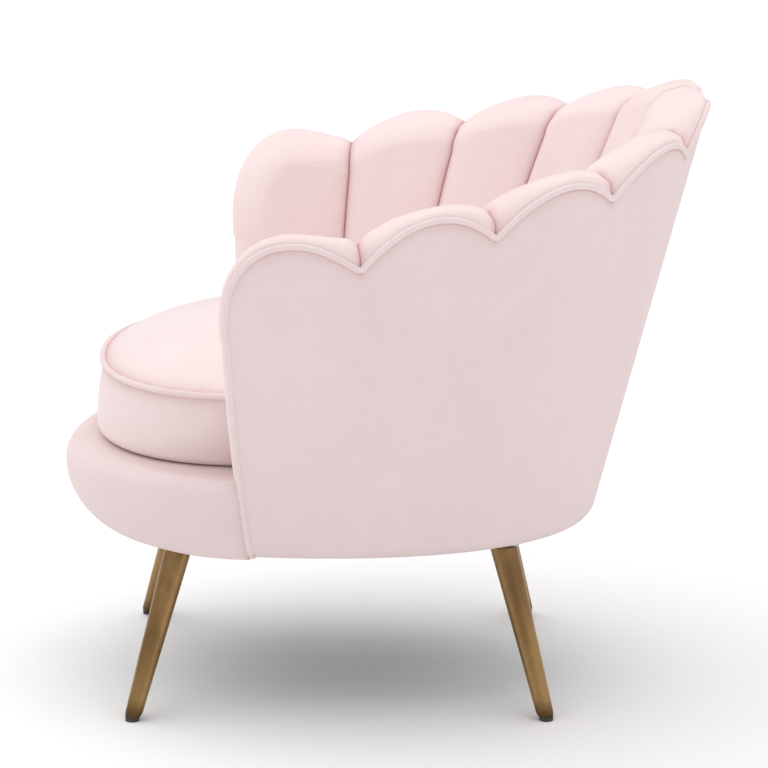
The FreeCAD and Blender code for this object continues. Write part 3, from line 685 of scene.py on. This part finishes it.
def wing_petal():
    """Grids of the wing: rays leave the rim and the front edge at right angles, roll over and
    fan to the seam behind."""
    top_station, top_z = wing_top(70)
    edge_z = np.linspace(WING_CORNER_Z, WING_LOW_Z, 46)[1:]
    along = np.concatenate([(top_station - PETALS + 1) * PETAL_LENGTH,
                            np.full(len(edge_z), PETAL_LENGTH)])
    rim = np.concatenate([top_z, edge_z])
    along = along + belly(rim) * PETAL_LENGTH
    along = np.maximum(along, SEAM_GAP)
    run = np.concatenate([[0], np.cumsum(np.hypot(np.diff(along), np.diff(rim)))])
    ahead = np.stack([np.gradient(along), np.gradient(rim)], -1)
    normal = np.stack([-ahead[:, 1], ahead[:, 0]], -1)
    normal /= np.linalg.norm(normal, axis=1, keepdims=True)
    from_seam = smooth(run, 0.0, 0.05)[:, None]
    normal = from_seam * normal + (1 - from_seam) * np.array([0.0, 1.0])
    normal /= np.linalg.norm(normal, axis=1, keepdims=True)
    fullness = smooth(run, 0.0, 0.075)
    over = ROLL_OVER_VALLEY + (WING_ROLL_OVER - ROLL_OVER_VALLEY) * fullness
    drop = VALLEY_ROLL_DROP + (WING_ROLL_DROP - VALLEY_ROLL_DROP) * fullness
    seam_z = SEAM_TOP_Z + (PETAL_FOOT_Z - SEAM_TOP_Z) * (run / run[-1])
    half_crown = petal_crown(np.clip(along / PETAL_LENGTH, 0, 0.5))
    turn = np.linspace(0, np.pi, 30)[:, None]
    across, lift = roll_shape(turn, 0.0, over, -drop)
    roll_along = along + lift * normal[:, 0]
    roll_z = rim + lift * normal[:, 1]
    start_along = along - drop * normal[:, 0]
    start_z = rim - drop * normal[:, 1]
    start_station = wing_station(start_along, wing_seam_shift(start_z))
    full_depth = seam_depth(start_z, start_station) + PETAL_BULGE * half_crown
    fold = pleats(run, turn) * np.sin(turn)
    roll_depth = ROLL_BACK + (full_depth - ROLL_BACK) * across - fold * np.cos(turn)
    roll = wall(wing_station(roll_along, SEAM_LEAN * across), roll_z + fold * np.sin(turn), roll_depth)
    down = np.linspace(0, 1, 52)[1:, None]
    panel_along = start_along + (SEAM_GAP - start_along) * down
    panel_z = start_z + (seam_z - start_z) * down
    panel_crown = petal_crown(np.clip(panel_along / PETAL_LENGTH, 0, 0.5))
    panel_station = wing_station(panel_along, wing_seam_shift(panel_z))
    panel_depth = seam_depth(panel_z, panel_station) + PETAL_BULGE * panel_crown
    panel = wall(panel_station, panel_z, panel_depth)
    front = np.concatenate([roll, panel])
    back_share = np.linspace(0, 1, len(turn))[:, None]
    back_depth = ROLL_BACK + (PETAL_BACK - ROLL_BACK) * smooth(back_share, 0.55, 0.9)
    back_reach = WING_BACK_SIDE + WING_BACK_TOP * np.abs(normal[:, 1])
    back_drop = WING_BACK_START + back_reach * back_share
    back_along = np.maximum(along - back_drop * normal[:, 0], SEAM_GAP)
    back_z = rim - back_drop * normal[:, 1]
    back_roll = wall(wing_station(back_along, 0.0), back_z, back_depth)
    low_along = back_along[-1] + (SEAM_GAP - back_along[-1]) * down
    low_z = back_z[-1] + (seam_z - back_z[-1]) * down
    back_shift = fanned(LAST_SEAM, VALLEY_FRONT_Z - BACK_TOP_DROP, low_z) - LAST_SEAM
    back = np.concatenate([back_roll, wall(wing_station(low_along, back_shift), low_z, PETAL_BACK)])
    seam_distance = np.concatenate([np.broadcast_to(run, roll_z.shape), panel_along])
    # Painted shade darkens the cloth beside the seam.
    return front, back, np.exp(-seam_distance / SEAM_SHADE_REACH)


petal_velvet = velvet("petal_velvet", rgb(244, 226, 225), rgb(216, 180, 180))
for petal in range(PETALS):
    front, back, crease = wing_petal() if petal == PETALS - 1 else back_petal(petal)
    number = PETALS - petal
    for side, sign in SIDES:
        place = front if sign > 0 else mirrored(front)
        behind = back if sign > 0 else mirrored(back)
        piece = padded_sheet(f"petal_{side}_{number}", place, behind, crease)
        replaced = [f"petal_pad_{side}_{number}"]
        if number == 1:
            replaced += [f"rim_roll_{side}", f"wing_facing_{side}"]
        finish_piece(piece, petal_velvet, "petal_velvet", "chair", *replaced)

# ------------------------------------------------------------------ rim piping
# A velvet-covered cord is sewn between the cover and the petals. It follows the scallops,
# turns down the front of each wing and ends under the base.

PIPING_RADIUS, PIPING_SET_IN = 0.004, 0.0012


def soften(path, reach):
    """Moves every point of a path to the mean of its neighbours, which rounds sharp turns."""
    kernel = np.hanning(2 * reach + 3)[1:-1]
    kernel /= kernel.sum()
    longer = np.concatenate([np.repeat(path[:1], reach, 0), path, np.repeat(path[-1:], reach, 0)])
    return np.stack([np.convolve(longer[:, k], kernel, "valid") for k in range(3)], -1)


def even_path(path, spacing):
    """Points at even lengths along a path."""
    run = np.concatenate([[0], np.cumsum(np.linalg.norm(np.diff(path, axis=0), axis=1))])
    goals = np.linspace(0, run[-1], int(run[-1] / spacing))
    return np.stack([np.interp(goals, run, path[:, k]) for k in range(3)], -1)


def cord_tube(name, path, across, radius, closed=False, sides=14):
    """Circles round the points of a path, in the planes across it; the first direction of
    each is the given vector, squared to the path."""
    if closed:
        ahead = np.roll(path, -1, 0) - np.roll(path, 1, 0)
    else:
        ahead = np.gradient(path, axis=0)
    ahead /= np.linalg.norm(ahead, axis=1, keepdims=True)
    first = across - np.sum(across * ahead, axis=1, keepdims=True) * ahead
    first /= np.linalg.norm(first, axis=1, keepdims=True)
    second = np.cross(ahead, first)
    turn = np.linspace(0, 2 * np.pi, sides, endpoint=False)[None, :, None]
    rings = path[:, None] + radius * (first[:, None] * np.cos(turn) + second[:, None] * np.sin(turn))
    if closed:
        rings = np.concatenate([rings, rings[:1]])
        return new_piece(name, rings, grid_faces(len(path) + 1, sides, turned=True))
    return ring_form(name, rings, path[[0, -1]])


edge_z = np.linspace(WING_CORNER_Z, HEM_Z + HEM_RADIUS, 60)[1:]
piping_station = np.concatenate([half_station, PETALS + belly(edge_z)])
piping_z = np.concatenate([half_z, edge_z])
piping_path = wall(piping_station, piping_z, PIPING_SET_IN)
hem_turn = np.linspace(0, np.pi / 2, 8)[1:]
hem_path = wall(PETALS, HEM_Z + HEM_RADIUS - (HEM_RADIUS - 0.001) * np.sin(hem_turn),
                0.001 + HEM_RADIUS * (1 - np.cos(hem_turn)))
piping_path = even_path(np.concatenate([piping_path, hem_path]), 0.0025)
piping_path[1:-1] = soften(piping_path, 2)[1:-1]
piping_inwards = piping_path * np.array([-1.0, -1.0, 0.0])
piping_velvet = velvet("piping_velvet", rgb(238, 221, 221), rgb(208, 174, 175), 1.3)
for side, sign in SIDES:
    path = piping_path if sign > 0 else mirrored(piping_path)
    toward = piping_inwards if sign > 0 else mirrored(piping_inwards)
    piping = cord_tube(f"piping_{side}", path, toward, PIPING_RADIUS)
    finish_piece(piping, piping_velvet, "piping_velvet", "chair", f"rim_piping_{side}")

# ------------------------------------------------------------------ front border
# A fat foam roll over the front board closes the tub below the cushion. Its velvet runs
# from wing to wing in one piece, from a ledge under the cushion, round the nose and down
# under the base.

SEAT_SETTLE = 0.008
LEDGE_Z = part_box("front_border")[1].z - SEAT_SETTLE
LEDGE_REACH = 0.180
BORDER_SQUARENESS = 1.95
BORDER_TUCK, BORDER_END_INSET, BORDER_END_SHADE = 0.0015, 0.006, 0.005
HEM_FOAM, NOSE_FOAM, LEDGE_FOAM = 0.003, 0.020, 0.012
FOAM_LOW_Z, FOAM_HIGH_Z = 0.245, 0.290
NOSE_HEIGHT = (0.3270, 0.3262, 0.3215, 0.3130, 0.2990, 0.2830, 0.2640, 0.2450, 0.2300, 0.2200,
               0.2165)
NOSE_REACH = (-0.366, -0.381, -0.397, -0.409, -0.4160, -0.4165, -0.413, -0.404, -0.392, -0.378,
              -0.361)


def along_curve(values, count):
    """A smooth curve through a few values, by cubic arcs with slopes from their neighbours."""
    values = np.asarray(values, float)
    slope = np.gradient(values)
    place = np.linspace(0, len(values) - 1, count)
    k = np.minimum(place.astype(int), len(values) - 2)
    t = place - k
    return ((2 * t ** 3 - 3 * t ** 2 + 1) * values[k] + (t ** 3 - 2 * t ** 2 + t) * slope[k]
            + (3 * t ** 2 - 2 * t ** 3) * values[k + 1] + (t ** 3 - t ** 2) * slope[k + 1])


def border_rows(height, apex_y, inset):
    """Superellipses from wing edge to wing edge through a foremost point, at each height."""
    across = np.linspace(-np.pi / 2, np.pi / 2, 121)[None, :]
    across = across + 0.12 * np.sin(2 * across)
    end = wall(PETALS, np.maximum(height, HEM_Z), BORDER_TUCK)
    end_x = end[:, :1] - inset[:, None]
    end_y = end[:, 1:2]
    sine, cosine = np.sin(across), np.abs(np.cos(across))
    x = end_x * np.sign(sine) * np.abs(sine) ** (2 / BORDER_SQUARENESS)
    y = end_y + (apex_y[:, None] - end_y) * cosine ** (2 / BORDER_SQUARENESS)
    return np.stack([x, y, np.broadcast_to(height[:, None], x.shape)], -1)


nose_z = along_curve(NOSE_HEIGHT, 60)
nose_y = along_curve(NOSE_REACH, 60)
ledge_y = np.linspace(-LEDGE_REACH, NOSE_REACH[0], 16)[:-1]
ledge_z = np.full(len(ledge_y), NOSE_HEIGHT[0])
under_y = np.linspace(NOSE_REACH[-1], NOSE_REACH[-1] + 0.022, 5)[1:]
under_z = np.full(len(under_y), HEM_Z)
border_z = np.concatenate([ledge_z, nose_z, under_z])
border_y = np.concatenate([ledge_y, nose_y, under_y])
end_inset = BORDER_END_INSET * smooth(border_z, LEDGE_Z - 0.016, LEDGE_Z)
border_front = border_rows(border_z, border_y, end_inset)
foam = np.interp(border_z, [HEM_Z, FOAM_LOW_Z, LEDGE_Z - 0.01, LEDGE_Z],
                 [HEM_FOAM, NOSE_FOAM, NOSE_FOAM, LEDGE_FOAM])
back_z = np.where(border_z > FOAM_HIGH_Z, border_z - foam * smooth(border_z, FOAM_HIGH_Z, LEDGE_Z),
                  border_z + HEM_FOAM * (1 - smooth(border_z, HEM_Z, FOAM_LOW_Z - 0.005)))
border_back = border_rows(back_z, np.minimum(border_y + foam, -LEDGE_REACH), end_inset + foam * 0.5)
# Painted shade darkens the border where its ends meet the wings.
end_distance = np.linalg.norm(border_front - border_front[:, :1], axis=-1)
end_distance = np.minimum(end_distance, end_distance[:, ::-1])
border = padded_sheet("front_border_roll", border_front, border_back, np.exp(-end_distance / BORDER_END_SHADE))
finish_piece(border, shell_velvet, "shell_velvet", "chair", "front_border")

# ------------------------------------------------------------------ seat deck
# A foam board on the straps, under a plain woven lining. It is seen only when the loose
# cushion is lifted out.

DECK_LOW_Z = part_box("seat_deck")[0].z
DECK_TOP_Z = LEDGE_Z - 0.002
DECK_CLEARANCE = 0.003
DECK_EDGE = 0.008
DECK_FRONT_Y, DECK_FRONT_REACH = -0.188, 0.004
DECK_MIDDLE = np.array([0.0, 0.01, 0.0])
DECK_SIDES = 140
OUTLINE_SQUARENESS = 2.25
THREAD_PITCH = 0.0016


def tub_outline(height, inset, front_y, front_reach, count):
    """Closed outline at even lengths: the inside of the petals behind front_y, a superellipse
    before it."""
    station = np.linspace(PETALS, -PETALS, 400)
    behind = wall(station, height, seam_depth(height, station) + PETAL_BULGE + inset)
    behind = behind[behind[:, 1] > front_y + 0.01]
    turn = np.linspace(-np.pi / 2, np.pi / 2, 200)
    side_x = behind[0, 0]
    power = 2 / OUTLINE_SQUARENESS
    before = np.stack([side_x * np.sign(np.sin(turn)) * np.abs(np.sin(turn)) ** power,
                       front_y - front_reach * np.cos(turn) ** power,
                       np.full(len(turn), height)], -1)
    loop = np.concatenate([behind, before, behind[:1]])
    return even_path(loop, np.linalg.norm(np.diff(loop, axis=0), axis=1).sum() / (count + 1.5))[:count]


deck_outline = tub_outline(DECK_LOW_Z, DECK_CLEARANCE, DECK_FRONT_Y, DECK_FRONT_REACH, DECK_SIDES)
edge_turn = np.linspace(0, np.pi / 2, 6)
deck_inset = np.concatenate([[0, 0, 0], DECK_EDGE * (1 - np.cos(edge_turn)),
                             np.linspace(0.03, 0.15, 10)])
deck_z = np.concatenate([np.linspace(DECK_LOW_Z, DECK_TOP_Z - DECK_EDGE, 3),
                         DECK_TOP_Z - DECK_EDGE + DECK_EDGE * np.sin(edge_turn),
                         np.full(10, DECK_TOP_Z)])
deck_spokes = deck_outline * np.array([1, 1, 0]) - DECK_MIDDLE
spoke_share = 1 - deck_inset[:, None, None] / np.linalg.norm(deck_spokes, axis=1, keepdims=True)
deck_rings = DECK_MIDDLE + deck_spokes * spoke_share
deck_rings[..., 2] = deck_z[:, None]
deck_poles = DECK_MIDDLE + np.array([[0, 0, DECK_LOW_Z], [0, 0, DECK_TOP_Z]])
deck = ring_form("seat_deck_pad", deck_rings, deck_poles)

lining = Finish("deck_lining")
warp = lining.wave(lining.axis("X"), THREAD_PITCH)
weft = lining.wave(lining.axis("Y"), THREAD_PITCH)
lining_weave = warp * 0.5 + weft * 0.5
lining_slub = lining.noise(lining.place((60, 8, 60)), detail=4)
lining_colour = lining.blend(lining_weave * 0.4 + lining_slub * 0.5,
                             rgb(196, 180, 176), rgb(226, 212, 207))
deck_lining = lining.surface(Base_Color=lining_colour, Roughness=lining_slub * 0.1 + 0.85,
                             Sheen_Weight=0.15, Normal=lining.bump(lining_weave, 0.0005))
finish_piece(deck, deck_lining, "deck_cloth", "chair", "seat_deck")

# ------------------------------------------------------------------ seat cushion
# A loose velvet cushion, filled with foam and feather, lies on the deck. Its boxing stands
# between a seam below and a welt above. It is cut to the tub behind and rounded in front.

CUSHION_BOTTOM_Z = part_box("seat_cushion")[0].z - SEAT_SETTLE
CUSHION_TOP_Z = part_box("seat_cushion")[1].z
WELT_Z = 0.427
CUSHION_CLEARANCE = 0.004
CUSHION_FRONT_START = -0.170
FRONT_REACH_LOW, FRONT_REACH_HIGH = 0.207, 0.195
CUSHION_CORNER, CUSHION_MEAN_RADIUS = 0.014, 0.25
CROWN_ROUNDNESS = 0.68
CUSHION_SIDES = 200
CUSHION_MIDDLE = np.array([0.0, -0.06, 0.0])
BOXING_FULLNESS = 0.006
WELT_SHADE_ROWS = 1.2
TOP_GIVE, FRONT_GIVE, SIDE_GIVE = 0.009, 0.009, 0.002
FREE_FRONT_Y = CUSHION_FRONT_START - 0.02


def cushion_outline(height):
    """Outline of the boxing, which leans outwards with the tub and inwards at the front."""
    share = (height - CUSHION_BOTTOM_Z) / (WELT_Z - CUSHION_BOTTOM_Z)
    reach = FRONT_REACH_LOW + share * (FRONT_REACH_HIGH - FRONT_REACH_LOW)
    return tub_outline(height, CUSHION_CLEARANCE, CUSHION_FRONT_START, reach, CUSHION_SIDES)


def drawn_in(outline, share, height):
    """The outline scaled towards the cushion's middle, at a height."""
    ring = CUSHION_MIDDLE + (outline - CUSHION_MIDDLE) * (1 - share)
    ring[:, 2] = height
    return ring


def fill_with_air(piece, pinned, cap):
    """Cloth under pressure for 20 steps with its sewn points pinned. Each point keeps its way
    but moves no further than its cap: move * min(1, cap / length)."""
    seams = piece.vertex_groups.new(name="seams")
    seams.add(np.flatnonzero(pinned).tolist(), 1.0, "REPLACE")
    cloth = piece.modifiers.new("filling", "CLOTH")
    cloth.settings.quality = 5
    cloth.settings.use_pressure = True
    cloth.settings.uniform_pressure_force = 4.0
    cloth.settings.vertex_group_mass = "seams"
    cloth.settings.effector_weights.gravity = 0.0
    cloth.point_cache.frame_start = 1
    cloth.point_cache.frame_end = 20
    start = np.empty(len(piece.data.vertices) * 3, np.float32)
    piece.data.vertices.foreach_get("co", start)
    for step in range(1, 21):
        bpy.context.scene.frame_set(step)
    blown = piece.evaluated_get(bpy.context.evaluated_depsgraph_get()).data
    end = np.empty_like(start)
    blown.vertices.foreach_get("co", end)
    start, move = start.reshape(-1, 3), (end - start).reshape(-1, 3)
    length = np.maximum(np.linalg.norm(move, axis=1), 1e-9)
    move *= np.minimum(1, cap / length)[:, None]
    piece.modifiers.remove(cloth)
    piece.data.vertices.foreach_set("co", (start + move).ravel().astype(np.float32))
    piece.data.update()
    bpy.context.scene.frame_set(1)


corner_z = CUSHION_BOTTOM_Z + CUSHION_CORNER
low_outline = cushion_outline(corner_z)
rings = [drawn_in(low_outline, share, CUSHION_BOTTOM_Z) for share in np.linspace(0.97, 0.10, 16)]
for turn in np.linspace(0, np.pi / 2, 6)[:-1]:
    share = (1 - np.sin(turn)) * CUSHION_CORNER / CUSHION_MEAN_RADIUS
    rings.append(drawn_in(low_outline, share, corner_z - CUSHION_CORNER * np.cos(turn)))
lower_seam = len(rings)
for height in np.linspace(corner_z, WELT_Z, 14):
    ring = cushion_outline(height)
    full = BOXING_FULLNESS * math.sin(math.pi * (height - corner_z) / (WELT_Z - corner_z))
    rings.append(drawn_in(ring, -full, height))
upper_seam = len(rings) - 1
for share in np.linspace(0, 1, 40)[1:-1] ** 1.2:
    height = WELT_Z + (CUSHION_TOP_Z - WELT_Z) * share ** CROWN_ROUNDNESS
    rings.append(drawn_in(ring, share, height))
cushion_rings = np.stack(rings)
cushion_poles = CUSHION_MIDDLE + np.array([[0, 0, CUSHION_BOTTOM_Z], [0, 0, CUSHION_TOP_Z]])
# Painted shade at the welt seam, fading over the rings above and below it.
ring_place = np.abs(np.arange(len(rings)) - upper_seam)
cushion_welt_shade = np.repeat(np.exp(-ring_place / WELT_SHADE_ROWS), CUSHION_SIDES)
cushion = ring_form("seat_cushion_pad", cushion_rings, cushion_poles, np.append(cushion_welt_shade, [0, 0]))
sewn = np.ones((len(rings), CUSHION_SIDES), bool)
sewn[lower_seam + 1:upper_seam] = False
sewn[upper_seam + 1:] = False
give = np.full((len(rings), CUSHION_SIDES), TOP_GIVE)
at_front = cushion_rings[:upper_seam, :, 1] < FREE_FRONT_Y
give[:upper_seam] = np.where(at_front, FRONT_GIVE, SIDE_GIVE)
fill_with_air(cushion, np.append(sewn.ravel(), [True, False]),
              np.append(give.ravel(), [SIDE_GIVE, TOP_GIVE]))
rounding = cushion.modifiers.new("rounding", "SUBSURF")
rounding.levels = 1
rounding.render_levels = 1
cushion_velvet = velvet("cushion_velvet", rgb(242, 228, 227), rgb(214, 184, 183))
finish_piece(cushion, cushion_velvet, "cushion_velvet", "cushion", "seat_cushion")

# ------------------------------------------------------------------ cushion welt
# A velvet-covered cord sewn into the cushion's upper seam, all the way round.

WELT_RADIUS, WELT_STANDS_OUT = 0.004, 0.002
welt_path = cushion_outline(WELT_Z)
welt_out = (welt_path - CUSHION_MIDDLE) * np.array([1, 1, 0])
welt_out /= np.linalg.norm(welt_out, axis=1, keepdims=True)
welt = cord_tube("cushion_welt_cord", welt_path + WELT_STANDS_OUT * welt_out,
                 np.tile([0.0, 0.0, 1.0], (len(welt_path), 1)), WELT_RADIUS, closed=True)
finish_piece(welt, piping_velvet, "piping_velvet", "cushion", "cushion_welt")

# ------------------------------------------------------------------ dust cover
# A thin dark non-woven sheet closes the underside. Its turned edge is stapled over the
# velvet's hem; the leg plates are screwed through it.

DUST_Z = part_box("dust_cover")[0].z
DUST_EDGE_Z = HEM_Z - 0.0012
DUST_THICKNESS = 0.0008
DUST_EDGE_DEPTH = 0.026
DUST_SIDES = 160
DUST_TUCK = 0.012

dust_back = wall(np.linspace(PETALS, -PETALS, 300), FOOT_Z, DUST_EDGE_DEPTH)
dust_turn = np.linspace(-np.pi / 2, np.pi / 2, 120)[1:-1]
dust_reach = dust_back[0, 1] - NOSE_REACH[-1] - DUST_TUCK
dust_front = np.stack([dust_back[0, 0] * np.sin(dust_turn),
                       dust_back[0, 1] - dust_reach * np.cos(dust_turn),
                       np.full(len(dust_turn), FOOT_Z)], -1)
dust_loop = np.concatenate([dust_back, dust_front, dust_back[:1]])
dust_run = np.linalg.norm(np.diff(dust_loop, axis=0), axis=1).sum()
dust_outline = even_path(dust_loop, dust_run / (DUST_SIDES + 1.5))[:DUST_SIDES]
dust_share = np.concatenate([np.linspace(0, 0.12, 10), np.linspace(0.12, 0.98, 14)[1:]])
sag = DUST_EDGE_Z + (DUST_Z - DUST_EDGE_Z) * smooth(dust_share, 0.03, 0.08)
under = dust_outline * (1 - dust_share[:, None, None]) * np.array([1, 1, 0])
under[..., 2] = sag[:, None]
over = under[::-1] + np.array([0, 0, DUST_THICKNESS])
dust_poles = np.array([[0, 0, DUST_Z + DUST_THICKNESS], [0, 0, DUST_Z]])
dust_sheet = ring_form("dust_sheet", np.concatenate([over, under]), dust_poles)

cambric = Finish("dust_cambric")
dimples = cambric.node("ShaderNodeTexVoronoi", inputs={"Vector": cambric.place((700, 700, 700))})
tangle = cambric.noise(cambric.place((260, 260, 260)), detail=5, roughness=0.7)
cambric_colour = cambric.blend(tangle, rgb(46, 45, 47), rgb(92, 90, 92))
dust_cambric = cambric.surface(Base_Color=cambric_colour, Roughness=tangle * 0.2 + 0.75,
                               Normal=cambric.bump(dimples, 0.0004, 0.7))
finish_piece(dust_sheet, dust_cambric, "dust_cloth", "chair", "dust_cover")

# ------------------------------------------------------------------ floor, light and camera
# A pale studio floor, broad light from above and behind, and a long lens that looks a
# little down on the chair's side.

FLOOR_REACH, FLOOR_Z = 60.0, -0.0004
floor_points = np.array([[-1, -1, 0], [1, -1, 0], [1, 1, 0], [-1, 1, 0]]) * FLOOR_REACH
floor_points[:, 2] = FLOOR_Z
floor = new_piece("floor", floor_points, [[0, 1, 2, 3]])
paper = Finish("floor_paper")
paper_grain = paper.noise(paper.place((3, 3, 3)))
floor.data.materials.append(paper.surface(Base_Color=rgb(246, 246, 246),
                                          Roughness=paper_grain * 0.05 + 0.9))

world = bpy.data.worlds.new("studio")
world.use_nodes = True
world.node_tree.nodes["Background"].inputs["Color"].default_value = (1.0, 1.0, 1.0, 1.0)
world.node_tree.nodes["Background"].inputs["Strength"].default_value = 0.70
bpy.context.scene.world = world


def broad_sun(name, strength, spread, tilt, turn):
    """A soft light from far away; tilt is from straight above, turn is from +X towards +Y."""
    lamp = bpy.data.lights.new(name, "SUN")
    lamp.energy = strength
    lamp.angle = math.radians(spread)
    light = bpy.data.objects.new(name, lamp)
    light.rotation_euler = (0.0, math.radians(tilt), math.radians(turn))
    bpy.context.scene.collection.objects.link(light)


broad_sun("key", 1.42, 80, 20, 250)
broad_sun("fill", 0.42, 90, 55, 75)

CAMERA_TURN, CAMERA_LIFT, CAMERA_ROLL = 88.95, 13.06, 0.265
CAMERA_DISTANCE, CAMERA_LENS = 4.731, 169.07
AIM = (0.0, 0.0, 0.3834)
turn, lift, roll = (math.radians(angle) for angle in (CAMERA_TURN, CAMERA_LIFT, CAMERA_ROLL))
lens = bpy.data.cameras.new("camera")
lens.lens = CAMERA_LENS
lens.sensor_width = 36.0
lens.clip_end = 200.0
camera = bpy.data.objects.new("camera", lens)
back = mathutils.Vector((math.sin(turn) * math.cos(lift), -math.cos(turn) * math.cos(lift),
                         math.sin(lift)))
right = mathutils.Vector((math.cos(turn), math.sin(turn), 0.0))
up = back.cross(right)
axes = (right * math.cos(roll) + up * math.sin(roll), up * math.cos(roll) - right * math.sin(roll), back)
camera.location = mathutils.Vector(AIM) + CAMERA_DISTANCE * back
camera.rotation_euler = mathutils.Matrix(axes).transposed().to_euler()
bpy.context.scene.collection.objects.link(camera)
bpy.context.scene.camera = camera
bpy.context.scene.view_settings.view_transform = "Standard"
